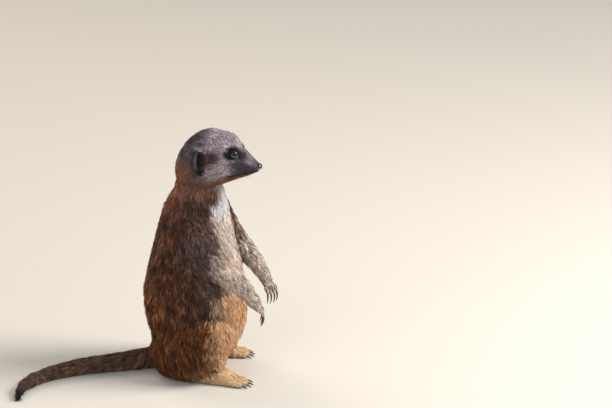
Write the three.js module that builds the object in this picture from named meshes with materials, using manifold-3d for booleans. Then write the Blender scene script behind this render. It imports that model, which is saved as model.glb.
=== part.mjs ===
// A meerkat sitting up on its haunches, at life size, in millimetres.
// It faces -Y, its left side is +X, and the floor it sits on is Z = 0. The origin is the middle of
// the small flat under the rump. Every solid reaches out to the tips of the coat.
import * as THREE from "three";
import { LoftGeometry } from "three/addons/geometries/LoftGeometry.js";
import { mergeVertices } from "three/addons/utils/BufferGeometryUtils.js";
import Module from "manifold-3d";

// ---------------------------------------------------------------- driving sizes
const GAP = 0.3; // between two solids that meet
const NECK_CUT = { height: 152, slope: 0.3 }; // the plane between trunk and neck, higher at the back
const ELBOW = 0.5; // where along its rows the fore leg is parted
const TAIL_PARTS = 3;
const DIGITS = 4; // on each foot

// Points round a section, and sections to each row of the tables below.
const TRUNK_POINTS = 28;
const HEAD_POINTS = 24;
const THIGH_POINTS = 16;
const LIMB_POINTS = 12;
const EAR_POINTS = 8;
const DIGIT_POINTS = 6;
const CLAW_POINTS = 5;
const HEAD_FINE = 1.5;
const LIMB_FINE = 1.5;

// The head leans a little, so that the right eye is the farther forward.
const EYE = { radius: 4.7, x: 9.4, z: 208.2, y: { right: -47.2, left: -45.6 } };
const ORBIT = { radius: 7.3, x: 7.8, z: 207.8, y: { right: -43.8, left: -42.4 } }; // brow and cheek round an eye
const NOSE = { half: 3.7, length: 3.1, height: 2.7, y: -67, z: 196.2 };

// The ear is a crescent wall: half its height, how far it bows to the rear, how far the rim stands
// out from the head, how deep its root goes, and how thick it is.
const EAR = { x: 21.5, y: -25, z: 201.3, rise: 11.3, bow: 6.3, stand: 6.5, root: 3, wall: 1.6 };
const EAR_LEAN = { out: 0.84, back: 0.34, up: 0.12 }; // the way its rim stands out
const EAR_ARC = { from: 105, to: -110, steps: 12 }; // in degrees above level, round the rear

// Digits and claws: length, half thickness at the root and at the tip, and curl in radians.
const PALM = 4.6;
const FORE_DIGIT = { length: 7, shorter: 0.8, apart: 2.7, fan: 0.13, start: 2.2, tip: 1.5, curl: 0.4 };
const FORE_CLAW = { length: 10.5, start: 1.25, tip: 0.3, curl: 0.95 };
const HIND_DIGIT = { length: 14.5, shorter: 2, apart: 4.1, fan: 0.1, start: 3.3, tip: 2, curl: 0.12 };
const HIND_CLAW = { length: 6.5, start: 1.15, tip: 0.3, curl: 0.3 };
const HIND_DIGIT_HEIGHT = 3.4;
const DIGIT_ROOT = 1.5; // how far a fore digit starts inside the palm

// Sections of the trunk and neck, from the floor up: height, belly side, back side, half width, and
// how square the section is, where 2 is an ellipse.
const TRUNK = [
  [-9, -6, 6, 5, 2],
  [-3, -17, 18, 18, 2],
  [6, -27, 30, 29, 2.1],
  [18, -38, 31.5, 35, 2.2],
  [32, -45, 33, 37.5, 2.2],
  [44, -49.5, 32.2, 39.5, 2.2],
  [52, -51, 35.4, 40, 2.2],
  [63, -51.6, 39.9, 40.5, 2.2],
  [77, -51, 39.7, 40, 2.2],
  [91, -50, 37.8, 39, 2.15],
  [104, -46, 34.6, 38, 2.1],
  [120, -41.4, 29.8, 36.5, 2.1],
  [134, -38, 25.4, 35, 2.1],
  [148, -35.5, 22.4, 31, 2.1],
  [158, -34.2, 19.3, 27, 2],
  [168, -34, 13.8, 23.2, 2],
  [178, -32.5, 10.2, 20.5, 2],
  [190, -26, 6.5, 17.5, 2],
  [200, -18, 0, 11, 2],
];
// Sections of the head, from the nape to the nose: place along Y, chin side, widest level, crown
// side, half width, squareness.
const HEAD = [
  [9.2, 181, 187, 193, 5, 2],
  [7.2, 175, 189, 200, 12.5, 2],
  [3.4, 171.5, 191.5, 208, 17.5, 2],
  [-2.5, 170, 193.5, 215.8, 21.5, 2.05],
  [-9, 170, 195, 221.2, 23.3, 2.1],
  [-17, 170.5, 196, 225, 24, 2.15],
  [-25, 172.5, 196.8, 226, 23.6, 2.2],
  [-33, 176.2, 197.6, 224.4, 21.6, 2.25],
  [-40, 180, 198.3, 221, 18.4, 2.3],
  [-46, 182.6, 198.6, 217, 15.2, 2.3],
  [-51, 184.4, 198.2, 212, 12.4, 2.2],
  [-56, 186.4, 197.4, 207.8, 10, 2.1],
  [-61, 188.9, 196.6, 203.2, 8, 2.05],
  [-65, 191.2, 196, 199.8, 6, 2],
  [-67, 192.6, 195.8, 198.4, 4.4, 2],
];

// ---------------------------------------------------------------- the pose
// Each row of a limb is a place on its middle line, then its half width and its half depth.
const FORE_LEG = {
  right: [
    [-19, -12, 148, 10, 11],
    [-25.5, -17, 136, 11.5, 14],
    [-33, -26, 122, 10.5, 13.5],
    [-37, -38.5, 110.5, 9, 12],
    [-34, -53, 103, 7.6, 10],
    [-28, -65.5, 89.5, 6, 7.2],
    [-20.5, -72.5, 74, 4.6, 4.2],
  ],
  left: [
    [20, -17, 156, 9.5, 10],
    [25.5, -18.5, 142, 10.5, 13.5],
    [31.5, -23.5, 125, 10, 13.5],
    [36, -33.5, 111.5, 8.8, 10.8],
    [33.6, -46, 101.5, 7.2, 8.6],
    [27, -58.5, 91.5, 5.8, 6.4],
    [20, -67.5, 81.5, 4.6, 4.2],
  ],
};
const FORE_PAW = {
  right: { ahead: [0.5, -0.5, -0.7], spread: [0.8, 0.55, 0.2] },
  left: { ahead: [-0.4, -0.68, -0.61], spread: [0.86, -0.5, 0.1] },
};
const PALM_SIZES = [
  [0, 4.6, 4.1],
  [0.5, 5, 3.9],
  [1, 5.2, 3.3],
];
const THIGH = {
  right: [
    [-18, 16, 18, 12, 15],
    [-24.5, 9, 22, 19.5, 23.5],
    [-28, -4, 28, 19.5, 30],
    [-31, -17, 35, 18, 29],
    [-33.5, -31, 45, 15, 22],
    [-34.5, -43, 54, 11.5, 14.5],
  ],
  left: [
    [18, 17, 18, 12, 15],
    [24.5, 11, 22, 19.5, 23.5],
    [28, 1, 28, 19.5, 28],
    [32.5, -9, 33.5, 18, 26],
    [36, -20, 38.5, 14.5, 19],
    [37.5, -28.5, 42, 11, 13],
  ],
};
const SHANK = {
  right: [
    [-33.5, -41.5, 51, 10, 11.5],
    [-32.5, -38, 37, 11.5, 13.5],
    [-31, -34, 24, 10.5, 12.5],
    [-29.5, -29, 12, 8.5, 10.5],
  ],
  left: [
    [37.5, -25.5, 41, 9.5, 10],
    [38, -23, 30, 10.5, 12],
    [37.6, -19.5, 20, 10, 11.5],
    [37, -14, 10, 8.5, 10],
  ],
};
const HIND_FOOT = {
  right: [
    [-28.5, -10, 6, 6.5, 7],
    [-28.5, -24, 6.8, 8, 8.6],
    [-28, -38, 7.2, 8.4, 9],
    [-27, -50.5, 4.8, 8.2, 6.6],
  ],
  left: [
    [32.6, 9, 6, 6.5, 7],
    [35.6, -2, 6.6, 8, 8.4],
    [39, -14.5, 6.2, 8.4, 8],
    [42, -25.5, 4.2, 8.2, 5.8],
  ],
};
const TAIL = [
  [-2, 16, 14, 12, 11],
  [-9, 30, 10, 10.5, 10],
  [-20, 46, 8.2, 9, 8.8],
  [-33, 66, 7.4, 8, 8],
  [-48, 85, 6.9, 7.4, 7.4],
  [-66, 101, 6.3, 6.8, 6.7],
  [-86, 112, 5.6, 6, 5.9],
  [-106, 116, 4.7, 5, 4.9],
  [-121, 113, 3.5, 3.7, 3.6],
  [-129, 108, 2.4, 2.4, 2.2],
];

// ---------------------------------------------------------------- solids
const wasm = await Module();
wasm.setup();

const X = new THREE.Vector3(1, 0, 0);
const Y = new THREE.Vector3(0, 1, 0);
const Z = new THREE.Vector3(0, 0, 1);
const vector = ([x, y, z]) => new THREE.Vector3(x, y, z);
const along = (from, way, distance) => from.clone().addScaledVector(way, distance);
const cross = (a, b) => new THREE.Vector3().crossVectors(a, b).normalize();
// The part of a direction that is square to another one.
const squareTo = (way, other) => along(way, other, -way.dot(other)).normalize();
const sign = (side) => (side === "right" ? -1 : 1);

// A closed geometry as a solid that can be cut and joined.
function solid(geometry) {
  const bare = geometry.index ? geometry.toNonIndexed() : geometry.clone();
  bare.deleteAttribute("normal");
  bare.deleteAttribute("uv");
  const merged = mergeVertices(bare, 1e-3);
  const mesh = new wasm.Mesh({
    numProp: 3,
    vertProperties: merged.attributes.position.array,
    triVerts: new Uint32Array(merged.index.array),
  });
  return new wasm.Manifold(mesh);
}

// The main body of a cut solid, without its crumbs.
function largest(cut) {
  return cut.decompose().reduce((best, piece) => (piece.volume() > best.volume() ? piece : best));
}

const loft = (sections) => solid(new LoftGeometry(sections, { capStart: true, capEnd: true }));

// One section: an oval whose upper and lower halves may differ, squared off where asked. `across`
// turned a quarter towards `up` goes round the loft's way forward.
function oval({ centre, across, up, half, rise, drop = rise, square = 2, points, grow = 0 }) {
  const power = 2 / square;
  return Array.from({ length: points }, (_, i) => {
    const angle = (2 * Math.PI * i) / points;
    const c = Math.cos(angle);
    const s = Math.sin(angle);
    const side = Math.sign(c) * Math.abs(c) ** power * (half + grow);
    const lift = Math.sign(s) * Math.abs(s) ** power * ((s > 0 ? rise : drop) + grow);
    return along(along(centre, across, side), up, lift);
  });
}

// Rows of numbers read smoothly at any place from the first row, 0, to the last.
function reader(rows) {
  const times = rows.map((_, i) => i);
  return new THREE.CubicInterpolant(times, rows.flat(), rows[0].length, []);
}

// A straight loft through rows, `fine` sections to each, where `shape` turns a row into an oval.
function rowLoft(rows, fine, shape) {
  const read = reader(rows);
  const steps = (rows.length - 1) * fine;
  return loft(
    Array.from({ length: steps + 1 }, (_, i) => oval(shape(...read.evaluate(i / fine)))),
  );
}

const trunkLoft = (grow) =>
  rowLoft(TRUNK, 1, (z, front, back, half, square) => ({
    centre: vector([0, (front + back) / 2, z]),
    across: X,
    up: Y,
    half,
    rise: (back - front) / 2,
    square,
    points: TRUNK_POINTS,
    grow,
  }));

const headLoft = (grow) =>
  rowLoft(HEAD, HEAD_FINE, (y, low, middle, top, half, square) => ({
    centre: vector([0, y, middle]),
    across: X,
    up: Z,
    half,
    rise: top - middle,
    drop: middle - low,
    square,
    points: HEAD_POINTS,
    grow,
  }));

// A limb along a smooth line through its rows. `side` is the way its half width is measured, and
// `from` and `to` are shares of the line. An end that isn't cut flat is rounded, and a flat start
// may be cut square to `startWay`.
const ROUNDED_END = [68, 34].map(THREE.MathUtils.degToRad);
const END_REACH = 0.8; // of the limb's half thickness

function limb(rows, options = {}) {
  const { side = X, from = 0, to = 1, fine = LIMB_FINE, points = LIMB_POINTS, grow = 0 } = options;
  const { square = 2, startCut = false, endCut = false, startWay } = options;
  const read = reader(rows);
  const last = rows.length - 1;
  const start = from * last;
  const end = to * last;
  const place = (t) => vector(read.evaluate(THREE.MathUtils.clamp(t, 0, last)));
  const at = (t, beyond = 0, scale = 1) => {
    const [x, y, z, half, depth] = read.evaluate(t);
    const line = place(t + 0.05).sub(place(t - 0.05)).normalize();
    const ahead = startWay && t === start ? startWay : line;
    const across = squareTo(side, ahead);
    const centre = along(vector([x, y, z]), ahead, beyond * (Math.min(half, depth) + grow));
    const sizes = { half: (half + grow) * scale, rise: (depth + grow) * scale };
    return oval({ centre, across, up: cross(ahead, across), ...sizes, square, points });
  };
  const steps = Math.max(1, Math.round((end - start) * fine));
  const cap = (t, way) => ROUNDED_END.map((a) => at(t, way * Math.sin(a), Math.cos(a)));
  const body = Array.from({ length: steps + 1 }, (_, i) => at(start + ((end - start) * i) / steps));
  return loft([
    ...(startCut ? [] : cap(start, -END_REACH)),
    ...body,
    ...(endCut ? [] : cap(end, END_REACH).reverse()),
  ]);
}

// A digit or a claw: a tapered loft that starts at `root`, heads along `ahead` and curls down.
const TAPER_STEPS = 3;
const TAPER_SWELL = 1.4; // above 1, it stays thick for longer

function taper(root, ahead, { length, start, tip, curl }, points) {
  const down = squareTo(Z.clone().negate(), ahead);
  const across = cross(down, ahead);
  const way = (share) =>
    along(ahead.clone().multiplyScalar(Math.cos(curl * share)), down, Math.sin(curl * share));
  const centre = root.clone();
  const sections = [];
  for (let i = 0; i <= TAPER_STEPS; i++) {
    const share = i / TAPER_STEPS;
    if (i) centre.addScaledVector(way(share), length / TAPER_STEPS);
    const half = THREE.MathUtils.lerp(start, tip, share ** TAPER_SWELL);
    const up = cross(way(share), across);
    sections.push(oval({ centre: centre.clone(), across, up, half, rise: half, points }));
  }
  return { made: loft(sections), end: centre, way: way(1) };
}

const ball = ({ radius, x, y, z }, detail) =>
  solid(new THREE.IcosahedronGeometry(radius, detail).translate(x, y, z));

// A big block that stands on the plane through `height` which rises towards the back by `slope`.
function above(height, slope = 0) {
  const size = 600;
  const block = new THREE.BoxGeometry(size, size, size).translate(0, 0, size / 2);
  return solid(block.rotateX(Math.atan(slope)).translate(0, 0, height));
}

const floor = above(0);
const trunkWhole = trunkLoft(0).intersect(floor);
const trunkSpace = trunkLoft(GAP);
const headSpace = headLoft(GAP);

// What is left of a solid above the floor and outside all of `spaces`.
const keep = (made, spaces) =>
  largest(spaces.reduce((rest, space) => rest.subtract(space), made.intersect(floor)));

// ---------------------------------------------------------------- head, ears, neck and trunk
const mirrored = (thing, side) => ({ ...thing, x: sign(side) * thing.x, y: thing.y[side] });
const eye = (side, grow = 0) =>
  ball({ ...mirrored(EYE, side), radius: EYE.radius + grow }, 2);

function nose(grow) {
  const pad = new THREE.SphereGeometry(1, 12, 7);
  pad.scale(NOSE.half + grow, NOSE.length + grow, NOSE.height + grow);
  return solid(pad.translate(0, NOSE.y, NOSE.z));
}

function head() {
  const sides = ["right", "left"];
  const whole = sides.reduce((made, side) => made.add(ball(mirrored(ORBIT, side), 3)), headLoft(0));
  return keep(whole, [nose(GAP), ...sides.map((side) => eye(side, GAP))]);
}

function ear(side) {
  const out = vector([sign(side) * EAR_LEAN.out, EAR_LEAN.back, EAR_LEAN.up]).normalize();
  const root = vector([sign(side) * EAR.x, EAR.y, EAR.z]);
  const sections = Array.from({ length: EAR_ARC.steps + 1 }, (_, i) => {
    const share = i / EAR_ARC.steps;
    const angle = THREE.MathUtils.degToRad(THREE.MathUtils.lerp(EAR_ARC.from, EAR_ARC.to, share));
    const ahead = vector([0, EAR.bow * Math.sin(angle), -EAR.rise * Math.cos(angle)]).normalize();
    const across = squareTo(out, ahead);
    const rim = Math.sin(Math.PI * THREE.MathUtils.lerp(0.06, 0.94, share)) ** 0.6;
    const half = (EAR.stand * rim + EAR.root) / 2;
    const arc = vector([0, EAR.bow * Math.cos(angle), EAR.rise * Math.sin(angle)]);
    const centre = along(root.clone().add(arc), out, half - EAR.root);
    const up = cross(ahead, across);
    return oval({ centre, across, up, half, rise: EAR.wall / 2, points: EAR_POINTS });
  });
  return keep(loft(sections), [headSpace, trunkSpace]);
}

const trunk = () => keep(trunkWhole, [above(NECK_CUT.height, NECK_CUT.slope)]);
const neck = () =>
  keep(trunkWhole.intersect(above(NECK_CUT.height + GAP, NECK_CUT.slope)), [headSpace]);

// ---------------------------------------------------------------- limbs
function foreLeg(side) {
  const rows = FORE_LEG[side];
  const row = vector(rows[3]).distanceTo(vector(rows[4]));
  const cut = GAP / 2 / row / (rows.length - 1); // half the gap, as a share of the line
  const upper = limb(rows, { to: ELBOW - cut, endCut: true });
  const lower = limb(rows, { from: ELBOW + cut, startCut: true, endCut: true });
  return { upper: keep(upper, [trunkSpace]), lower: keep(lower, [trunkSpace]) };
}

// The digits fan out from `ball`, and each carries a claw that ends it a gap away.
function digits(ball, ahead, across, size, claw) {
  return Array.from({ length: DIGITS }, (_, i) => {
    const off = i - (DIGITS - 1) / 2;
    const way = along(ahead, across, off * size.fan).normalize();
    const length = size.length - Math.abs(off) * size.shorter;
    const digit = taper(along(ball, across, off * size.apart), way, { ...size, length }, DIGIT_POINTS);
    const base = along(digit.end, digit.way, GAP);
    return { digit: digit.made, claw: taper(base, digit.way, claw, CLAW_POINTS).made };
  });
}

function forePaw(side) {
  const [before, wrist] = FORE_LEG[side].slice(-2).map(vector);
  const startWay = wrist.clone().sub(before).normalize();
  const start = along(wrist, startWay, GAP);
  const ahead = vector(FORE_PAW[side].ahead).normalize();
  const across = squareTo(vector(FORE_PAW[side].spread), ahead);
  const rows = PALM_SIZES.map(([share, ...sizes]) => [...along(start, ahead, share * PALM), ...sizes]);
  const palm = limb(rows, { side: across, startCut: true, startWay });
  const root = along(start, ahead, PALM - DIGIT_ROOT);
  const made = digits(root, ahead, across, FORE_DIGIT, FORE_CLAW);
  return {
    paw: keep(made.reduce((whole, { digit }) => whole.add(digit), palm), []),
    claws: made.map(({ claw }) => claw),
  };
}

function hindLeg(side) {
  const thick = { points: THIGH_POINTS, square: 2.3 };
  const thighSpace = limb(THIGH[side], { ...thick, grow: GAP });
  const shankSpace = limb(SHANK[side], { grow: GAP });
  const rows = HIND_FOOT[side];
  const [heel, toes] = [rows[0], rows.at(-1)].map(([x, y]) => vector([x, y, HIND_DIGIT_HEIGHT]));
  const ahead = toes.clone().sub(heel).normalize();
  const across = cross(Z, ahead);
  const made = digits(toes, ahead, across, HIND_DIGIT, HIND_CLAW);
  const sole = limb(rows, { side: across, square: 2.4, fine: 1 });
  const foot = made.reduce((whole, { digit }) => whole.add(digit), sole);
  return {
    thigh: keep(limb(THIGH[side], thick), [trunkSpace]),
    shank: keep(limb(SHANK[side]), [trunkSpace, thighSpace]),
    foot: keep(foot, [trunkSpace, thighSpace, shankSpace]),
    claws: made.map(({ claw }) => claw),
    space: thighSpace,
  };
}

function tail(part, spaces) {
  const row = vector(TAIL[3]).distanceTo(vector(TAIL[4]));
  const cut = GAP / 2 / row / (TAIL.length - 1);
  const [startCut, endCut] = [part > 0, part < TAIL_PARTS - 1];
  const from = part / TAIL_PARTS + (startCut ? cut : 0);
  const to = (part + 1) / TAIL_PARTS - (endCut ? cut : 0);
  return keep(limb(TAIL, { side: Z, from, to, startCut, endCut }), spaces);
}

// ---------------------------------------------------------------- finishes and the finished group
const finish = (color, roughness) => new THREE.MeshStandardMaterial({ color, roughness, metalness: 0 });
const FINISH = {
  back: finish(0x6b4c36, 0.95),
  head: finish(0x6f5f5c, 0.95),
  limb: finish(0x9c8469, 0.95),
  tail: finish(0x8a6a45, 0.95),
  ear: finish(0x1d1817, 0.8),
  eye: finish(0x1a110b, 0.1),
  nose: finish(0x1b1616, 0.45),
  claw: finish(0x2b292b, 0.35),
};

const meerkat = new THREE.Group();

function put(name, made, material) {
  const mesh = made.getMesh();
  const geometry = new THREE.BufferGeometry();
  geometry.setAttribute("position", new THREE.BufferAttribute(mesh.vertProperties, mesh.numProp));
  geometry.setIndex(new THREE.BufferAttribute(mesh.triVerts, 1));
  geometry.computeVertexNormals();
  const node = new THREE.Mesh(geometry, material);
  node.name = name;
  meerkat.add(node);
}

put("trunk", trunk(), FINISH.back);
put("neck", neck(), FINISH.back);
put("head", head(), FINISH.head);
put("nose", nose(0), FINISH.nose);

const behind = [trunkSpace];
for (const side of ["right", "left"]) {
  const fore = foreLeg(side);
  const fist = forePaw(side);
  const hind = hindLeg(side);
  behind.push(hind.space);
  put(`eye_${side}`, eye(side), FINISH.eye);
  put(`ear_${side}`, ear(side), FINISH.ear);
  put(`upper_arm_${side}`, fore.upper, FINISH.limb);
  put(`forearm_${side}`, fore.lower, FINISH.limb);
  put(`fore_paw_${side}`, fist.paw, FINISH.limb);
  put(`thigh_${side}`, hind.thigh, FINISH.back);
  put(`shank_${side}`, hind.shank, FINISH.limb);
  put(`hind_foot_${side}`, hind.foot, FINISH.limb);
  fist.claws.forEach((claw, i) => put(`fore_claw_${side}_${i + 1}`, claw, FINISH.claw));
  hind.claws.forEach((claw, i) => put(`hind_claw_${side}_${i + 1}`, claw, FINISH.claw));
}
for (let part = 0; part < TAIL_PARTS; part++) put(`tail_${part + 1}`, tail(part, behind), FINISH.tail);

export default meerkat;
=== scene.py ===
"""A still, life-size meerkat that sits upright: one skin, its coat, eyes, nose, claws and whiskers."""
import math

import bpy
import numpy as np
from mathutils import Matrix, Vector
from mathutils.kdtree import KDTree


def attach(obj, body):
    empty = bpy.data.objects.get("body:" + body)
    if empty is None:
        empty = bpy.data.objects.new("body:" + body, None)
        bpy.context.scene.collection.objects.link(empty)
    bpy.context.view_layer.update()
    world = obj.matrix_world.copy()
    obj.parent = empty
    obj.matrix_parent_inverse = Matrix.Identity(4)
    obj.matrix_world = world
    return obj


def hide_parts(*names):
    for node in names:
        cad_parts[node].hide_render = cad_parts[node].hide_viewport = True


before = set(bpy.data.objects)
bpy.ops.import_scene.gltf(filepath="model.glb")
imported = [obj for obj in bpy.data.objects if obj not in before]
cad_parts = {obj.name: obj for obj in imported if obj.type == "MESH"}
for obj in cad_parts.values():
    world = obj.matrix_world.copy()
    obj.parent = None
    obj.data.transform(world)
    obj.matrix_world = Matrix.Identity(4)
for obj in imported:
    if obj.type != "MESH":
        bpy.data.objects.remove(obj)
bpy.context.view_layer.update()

# Sizes and places are in millimetres, like the solids' own, and MM turns them into metres.
MM = 0.001
SIDES = {"right": -1, "left": 1}
DIGITS = range(1, 5)

# ---------------------------------------------------------------- camera, floor and light
CAMERA = {"lens": 200, "sensor": 36, "distance": 3.06, "azimuth": -70, "elevation": 18}
CAMERA_TARGET = (0.0783, -0.0826, 0.1395)
# For each lamp: azimuth and elevation as the camera's are counted, distance, size, power, colour.
LAMPS = {
    "key": (14, 38, 1.7, 0.8, 40, (1.0, 0.965, 0.91)),
    "fill": (-95, 30, 2.2, 1.8, 12, (0.93, 0.96, 1.0)),
    "rim": (150, 40, 2.0, 1.2, 14, (1.0, 0.86, 0.70)),
}
LIT = (0.0, -0.01, 0.12)
SKY = ((0.93, 0.95, 1.0), 0.42)

# ---------------------------------------------------------------- the body's own shape
# The head leans a little, so that the right eye is the farther forward.
EYE = {"x": 9.0, "y": -45.2, "z": 208.0, "radius": 4.5}
EYE_AHEAD = {"right": 2.0, "left": 0.2}
GAZE = (0.78, -0.50, 0.37)  # the way an eye looks, on the left side
INNER_CORNER = (-0.1, -1.0, -0.28)
# Half the lids' opening, in degrees seen from the eye's middle.
OPENING = {"long": 61, "up": 41, "down": 39}
LID = 0.45
# Digits of a foot and of a paw: how far apart, how much they fan out, how wide and deep the furrows
# between them are, how far from the line's last row but one they start, and how far aside they reach.
DIGIT_ROWS = {
    "foot": {"apart": 4.1, "fan": 0.1, "furrow": 0.75, "depth": 0.9, "start": -1, "reach": 8.0},
    "hand": {"apart": 2.7, "fan": 0.13, "furrow": 0.6, "depth": 1.2, "start": -2.5, "reach": 5.6},
}
# The way across each paw's digits.
ACROSS = {
    "foot_right": (1, 0, 0), "foot_left": (1, 0, 0),
    "hand_right": (0.8, 0.55, 0.2), "hand_left": (0.86, -0.5, 0.1),
}
NOSE = {"y": -67.0, "z": 196.2, "half": 4.3, "length": 3.2, "height": 3.0}
EAR = {"x": 21.5, "y": -25.0, "z": 201.3, "rise": 11.3, "bow": 6.3}
# The line between the lips, on the left side, from under the nose to the corner.
MOUTH = [(0, -68.4, 192.6), (2.7, -66.6, 192.7), (6.2, -61.2, 191.8), (8.6, -55.4, 190.4),
         (10.5, -50.3, 189.0), (12.3, -46, 188.2), (13.4, -43.4, 188.6)]

# The middle lines of the body. Each row is a place and the half thickness there. Hair lies along
# them, from the nose back and from the trunk out to the toes.
LINES = {
    "head": [(0, -66, 196, 3), (0, -56, 197, 9), (0, -46, 199, 14), (0, -34, 200, 20),
             (0, -20, 199, 24), (0, -9, 194, 22), (0, -6, 184, 18)],
    "body": [(0, -9, 188, 17), (0, -10.5, 178, 18), (0, -10, 168, 20), (0, -7.5, 158, 24),
             (0, -6.5, 148, 27), (0, -6, 134, 31), (0, -6, 120, 34), (0, -6, 104, 37),
             (0, -6, 91, 39), (0, -6, 77, 41), (0, -6, 63, 41), (0, -8, 50, 40),
             (0, -6, 32, 37), (0, -3, 18, 33), (0, 1, 4, 24)],
    "arm_right": [(-19, -12, 148, 10), (-25.5, -17, 136, 12), (-33, -26, 122, 12),
                  (-37, -38.5, 110.5, 10.5), (-34, -53, 103, 8.8), (-28, -65.5, 89.5, 6.6),
                  (-20.5, -72.5, 74, 4.4)],
    "arm_left": [(20, -17, 156, 10), (25.5, -18.5, 142, 12), (31.5, -23.5, 125, 11.5),
                 (36, -33.5, 111.5, 9.8), (33.6, -46, 101.5, 7.9), (27, -58.5, 91.5, 6.1),
                 (20, -67.5, 81.5, 4.4)],
    "hand_right": [(-20.5, -72.5, 74, 4.8), (-18.2, -74.8, 70.8, 5.0), (-15.2, -78.2, 65.4, 4.8)],
    "hand_left": [(20, -67.5, 81.5, 4.4), (18.2, -70.6, 78.7, 4.6), (14.5, -76.8, 73.1, 3.6)],
    "thigh_right": [(-18, 16, 18, 13), (-24.5, 9, 22, 21), (-28, -4, 28, 24), (-31, -17, 35, 23),
                    (-33.5, -31, 45, 18), (-34.5, -43, 54, 13)],
    "thigh_left": [(18, 17, 18, 13), (24.5, 11, 22, 21), (28, 1, 28, 23), (32.5, -9, 33.5, 21),
                   (36, -20, 38.5, 16), (37.5, -28.5, 42, 12)],
    "shank_right": [(-33.5, -41.5, 51, 10.8), (-32.5, -38, 37, 12.5), (-31, -34, 24, 11.5),
                    (-29.5, -29, 12, 9.5)],
    "shank_left": [(37.5, -25.5, 41, 9.8), (38, -23, 30, 11.2), (37.6, -19.5, 20, 10.8),
                   (37, -14, 10, 9.2)],
    "foot_right": [(-28.5, -10, 6, 6.8), (-28.5, -24, 6.8, 8.2), (-28, -38, 7.2, 8.7),
                   (-27, -50.5, 4.8, 7.4), (-26.5, -64, 3.4, 6)],
    "foot_left": [(32.6, 9, 6, 6.8), (35.6, -2, 6.6, 8.2), (39, -14.5, 6.2, 8.2),
                  (42, -25.5, 4.2, 7), (45, -38, 3.2, 6)],
    "tail": [(-2, 16, 14, 11.5), (-9, 30, 10, 10.2), (-20, 46, 8.2, 8.9), (-33, 66, 7.4, 8),
             (-48, 85, 6.9, 7.4), (-66, 101, 6.3, 6.8), (-86, 112, 5.6, 6), (-106, 116, 4.7, 5),
             (-121, 113, 3.5, 3.6), (-129, 108, 2.4, 2.3)],
}
# Whiskers, on the left side, three from each place: the place, the way they point, length, dark or pale.
WHISKERS = (
    ((5.6, -63.2, 195.2), (0.75, 0.35, -0.1), 17, 1), ((7.0, -60.0, 193.6), (0.75, 0.5, -0.25), 20, 1),
    ((7.6, -59.0, 196.2), (0.8, 0.5, 0.1), 19, 1), ((4.2, -61.5, 190.2), (0.6, 0.5, -0.6), 6, 1),
    ((9.0, -46.0, 214.0), (0.6, 0.7, 0.35), 6, 1), ((21.5, -33.0, 200.8), (0.32, 1.0, 0.03), 10, 0),
    ((21.8, -29.0, 196.6), (0.40, 1.0, 0.1), 8, 0),
)
WHISKER_WIDTH = 0.16
BROW = {"swell": 2.2, "middle": (1, -42, 219), "sizes": (12, 8, 7)}  # the fullness of the brow
TAIL_STEPS, TAIL_INSET = 12, 1.7  # steps between two rows of the tail, and its skin's depth under the coat
PARTS = ("head", "body", "arm", "hand", "thigh", "shank", "foot", "tail")
# For each part: how deep the coat is, how long a lock, how wide, and how many grow on a square millimetre.
COAT = {
    "head": (1.5, 4.6, 0.42, 3.0),
    "body": (4.4, 12.0, 0.60, 1.5),
    "arm": (2.1, 6.8, 0.48, 1.95),
    "hand": (0.4, 1.8, 0.32, 4.4),
    "thigh": (4.0, 10.5, 0.58, 1.7),
    "shank": (2.0, 6.5, 0.52, 1.8),
    "foot": (0.6, 3.0, 0.42, 3.0),
    "tail": (2.0, 7.5, 0.50, 1.8),
}
FACE_COAT = (0.8, 2.6, 0.36, 4.2)
MUZZLE_COAT = (0.35, 1.5, 0.27, 6.0)
EAR_COAT = (0.25, 1.7, 0.30, 4.5)

FLESH = ["head", "neck", "trunk", "tail_1", "tail_2", "tail_3"] + [
    f"{part}_{side}" for side in SIDES
    for part in ("ear", "upper_arm", "forearm", "fore_paw", "thigh", "shank", "hind_foot")
]

# ---------------------------------------------------------------- how the skin is made
# How far a solid is swelled before the solids are joined, so that they run into one another.
FULLER = {"ear": 0.45, "forearm": 0.45, "eye": 0.1}
FULLER_REST = 0.25
VOXEL = 0.8
KEPT_FACES = 0.19  # the share of the skin's faces that thinning out keeps
# Steps towards the neighbours' mean. A step back after each keeps the form from shrinking.
SMOOTH, SMOOTH_LIGHT, EVEN = (0.55, -0.57), (0.4, -0.42), (0.5,)
FINE_MUZZLE = {"y": -50, "z": 180}  # ahead of this y and over this z the faces are divided
FINE_EYES = (9.0, 8.0)  # within these distances of an eye they are divided again
SOCKET = 0.9  # how far under the eyeball's surface the skin runs, inside the lids
LID_RIM = 0.25
LIP_LINE = {"depth": 0.75, "width": 0.55}
LIP_EDGE = {"height": 0.28, "off": 1.3, "width": 0.7}
NOSTRILS = (((0.50, -0.82, -0.08), 0.34, 0.34), ((0.80, -0.52, -0.20), 0.26, 0.20))  # way, reach, depth

# ---------------------------------------------------------------- how the coat is made
# Each coat piece, a group name, and how many rings a lock of it has.
COAT_PIECES = (
    ("coat_head", "coat_head", 1), ("coat_face", "coat_head", 1), ("coat_neck", "coat_back", 2),
    ("coat_back", "coat_back", 2), ("coat_rump", "coat_back", 2), ("coat_chest", "coat_pale", 2),
    ("coat_belly", "coat_pale", 2), ("coat_arm_right", "coat_pale", 2), ("coat_arm_left", "coat_pale", 2),
    ("coat_haunch_right", "coat_back", 2), ("coat_haunch_left", "coat_back", 2),
    ("coat_legs", "coat_pale", 2), ("coat_tail", "coat_tail", 2),
)
PATCH = 0.003  # how wide a lock's patch is on the map of its piece
RING_WIDTHS = (1.0, 0.74)
LONG_LEVELS = ((-0.3, 0.0), (0.30, 0.55), (0.68, 0.92), (1.0, 1.0))  # along a lock, and its rise
SHORT_LEVELS = ((-0.2, 0.0), (0.42, 0.7), (1.0, 1.0))
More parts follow.
